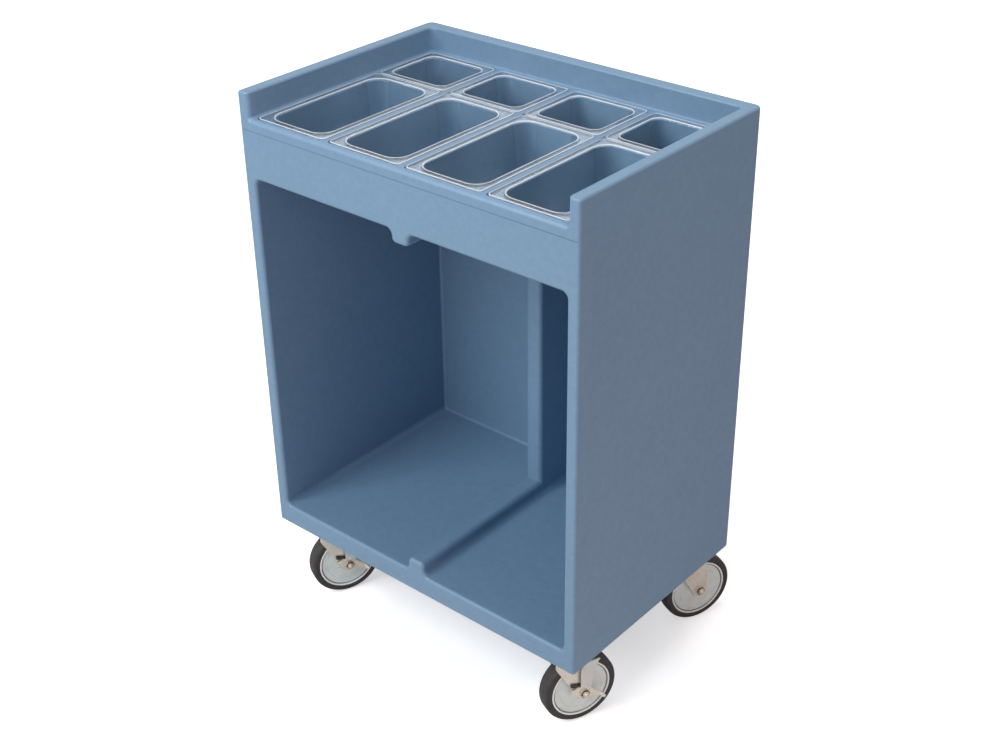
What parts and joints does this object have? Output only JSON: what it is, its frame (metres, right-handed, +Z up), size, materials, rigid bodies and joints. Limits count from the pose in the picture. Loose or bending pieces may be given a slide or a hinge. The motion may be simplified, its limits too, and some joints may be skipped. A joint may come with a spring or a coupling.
{
  "type": "tray and cutlery cart",
  "caption": "Moulded cart with an open two-bay tray store, a rimmed deck with clear lift-out cutlery pans, and swivel casters with side brakes at the front.",
  "frame": {"origin": "on the floor, below the middle of the whole cart with its wheels trailing to the back", "axes": "+X to the right along the open front, +Y to the closed back, +Z up"},
  "size_m": [0.816, 0.5902, 1.184],
  "materials": {
    "body_plastic": "slate blue moulded polyethylene, fine grain",
    "pan_clear": "clear polycarbonate",
    "caster_steel": "zinc plated pressed steel",
    "cam_black": "black oxide steel",
    "fastener_steel": "zinc plated",
    "insert_brass": "turned brass",
    "wheel_plastic": "pale grey moulded plastic",
    "tyre_rubber": "charcoal non-marking rubber"
  },
  "bodies": {
    "cart": {"cart_body": "body_plastic", "caster_bolts": "fastener_steel", "caster_washers": "fastener_steel", "caster_inserts": "insert_brass", "front_left_plate": "caster_steel", "front_left_kingpin": "caster_steel", "front_right_plate": "caster_steel", "front_right_kingpin": "caster_steel", "rear_left_plate": "caster_steel", "rear_left_kingpin": "caster_steel", "rear_right_plate": "caster_steel", "rear_right_kingpin": "caster_steel"},
    "front_left_swivel": {"front_left_fork": "caster_steel", "front_left_swivel_balls": "fastener_steel", "front_left_axle": "fastener_steel", "front_left_axle_nut": "fastener_steel", "front_left_axle_sleeve": "fastener_steel", "front_left_brake_cam": "cam_black"},
    "front_left_wheel": {"front_left_wheel_core": "wheel_plastic", "front_left_tyre": "tyre_rubber"},
    "front_left_brake": {"front_left_brake_lever": "caster_steel"},
    "front_right_swivel": {"front_right_fork": "caster_steel", "front_right_swivel_balls": "fastener_steel", "front_right_axle": "fastener_steel", "front_right_axle_nut": "fastener_steel", "front_right_axle_sleeve": "fastener_steel", "front_right_brake_cam": "cam_black"},
    "front_right_wheel": {"front_right_wheel_core": "wheel_plastic", "front_right_tyre": "tyre_rubber"},
    "front_right_brake": {"front_right_brake_lever": "caster_steel"},
    "rear_left_swivel": {"rear_left_fork": "caster_steel", "rear_left_swivel_balls": "fastener_steel", "rear_left_axle": "fastener_steel", "rear_left_axle_nut": "fastener_steel", "rear_left_axle_sleeve": "fastener_steel"},
    "rear_left_wheel": {"rear_left_wheel_core": "wheel_plastic", "rear_left_tyre": "tyre_rubber"},
    "rear_right_swivel": {"rear_right_fork": "caster_steel", "rear_right_swivel_balls": "fastener_steel", "rear_right_axle": "fastener_steel", "rear_right_axle_nut": "fastener_steel", "rear_right_axle_sleeve": "fastener_steel"},
    "rear_right_wheel": {"rear_right_wheel_core": "wheel_plastic", "rear_right_tyre": "tyre_rubber"},
    "third_pan_1": {"third_pan_1": "pan_clear"},
    "third_pan_2": {"third_pan_2": "pan_clear"},
    "third_pan_3": {"third_pan_3": "pan_clear"},
    "third_pan_4": {"third_pan_4": "pan_clear"},
    "sixth_pan_1": {"sixth_pan_1": "pan_clear"},
    "sixth_pan_2": {"sixth_pan_2": "pan_clear"},
    "sixth_pan_3": {"sixth_pan_3": "pan_clear"},
    "sixth_pan_4": {"sixth_pan_4": "pan_clear"}
  },
  "joints": [
    {"name": "front_left_swivel_turn", "type": "hinge", "parent": "cart", "child": "front_left_swivel", "pos_m": [-0.33, -0.23207, 0.189], "axis": [0, 0, 1], "continuous": true},
    {"name": "front_left_wheel_spin", "type": "hinge", "parent": "front_left_swivel", "child": "front_left_wheel", "pos_m": [-0.31565, -0.19906, 0.08], "axis": [0.9171, -0.3987, 0], "continuous": true},
    {"name": "front_left_brake_rock", "type": "hinge", "parent": "front_left_swivel", "child": "front_left_brake", "pos_m": [-0.31565, -0.19906, 0.08], "axis": [-0.9171, 0.3987, 0], "range_deg": [0, 35]},
    {"name": "front_right_swivel_turn", "type": "hinge", "parent": "cart", "child": "front_right_swivel", "pos_m": [0.33, -0.23207, 0.189], "axis": [0, 0, 1], "continuous": true},
    {"name": "front_right_wheel_spin", "type": "hinge", "parent": "front_right_swivel", "child": "front_right_wheel", "pos_m": [0.34436, -0.19906, 0.08], "axis": [0.9171, -0.3987, 0], "continuous": true},
    {"name": "front_right_brake_rock", "type": "hinge", "parent": "front_right_swivel", "child": "front_right_brake", "pos_m": [0.34436, -0.19906, 0.08], "axis": [-0.9171, 0.3987, 0], "range_deg": [0, 35]},
    {"name": "rear_left_swivel_turn", "type": "hinge", "parent": "cart", "child": "rear_left_swivel", "pos_m": [-0.33, 0.18393, 0.189], "axis": [0, 0, 1], "continuous": true},
    {"name": "rear_left_wheel_spin", "type": "hinge", "parent": "rear_left_swivel", "child": "rear_left_wheel", "pos_m": [-0.31565, 0.21694, 0.08], "axis": [0.9171, -0.3987, 0], "continuous": true},
    {"name": "rear_right_swivel_turn", "type": "hinge", "parent": "cart", "child": "rear_right_swivel", "pos_m": [0.33, 0.18393, 0.189], "axis": [0, 0, 1], "continuous": true},
    {"name": "rear_right_wheel_spin", "type": "hinge", "parent": "rear_right_swivel", "child": "rear_right_wheel", "pos_m": [0.34436, 0.21694, 0.08], "axis": [0.9171, -0.3987, 0], "continuous": true},
    {"name": "third_pan_1_lift", "type": "slide", "parent": "cart", "child": "third_pan_1", "axis": [0, 0, 1], "range_m": [0, 0.13]},
    {"name": "third_pan_2_lift", "type": "slide", "parent": "cart", "child": "third_pan_2", "axis": [0, 0, 1], "range_m": [0, 0.13]},
    {"name": "third_pan_3_lift", "type": "slide", "parent": "cart", "child": "third_pan_3", "axis": [0, 0, 1], "range_m": [0, 0.13]},
    {"name": "third_pan_4_lift", "type": "slide", "parent": "cart", "child": "third_pan_4", "axis": [0, 0, 1], "range_m": [0, 0.13]},
    {"name": "sixth_pan_1_lift", "type": "slide", "parent": "cart", "child": "sixth_pan_1", "axis": [0, 0, 1], "range_m": [0, 0.13]},
    {"name": "sixth_pan_2_lift", "type": "slide", "parent": "cart", "child": "sixth_pan_2", "axis": [0, 0, 1], "range_m": [0, 0.13]},
    {"name": "sixth_pan_3_lift", "type": "slide", "parent": "cart", "child": "sixth_pan_3", "axis": [0, 0, 1], "range_m": [0, 0.13]},
    {"name": "sixth_pan_4_lift", "type": "slide", "parent": "cart", "child": "sixth_pan_4", "axis": [0, 0, 1], "range_m": [0, 0.13]}
  ]
}
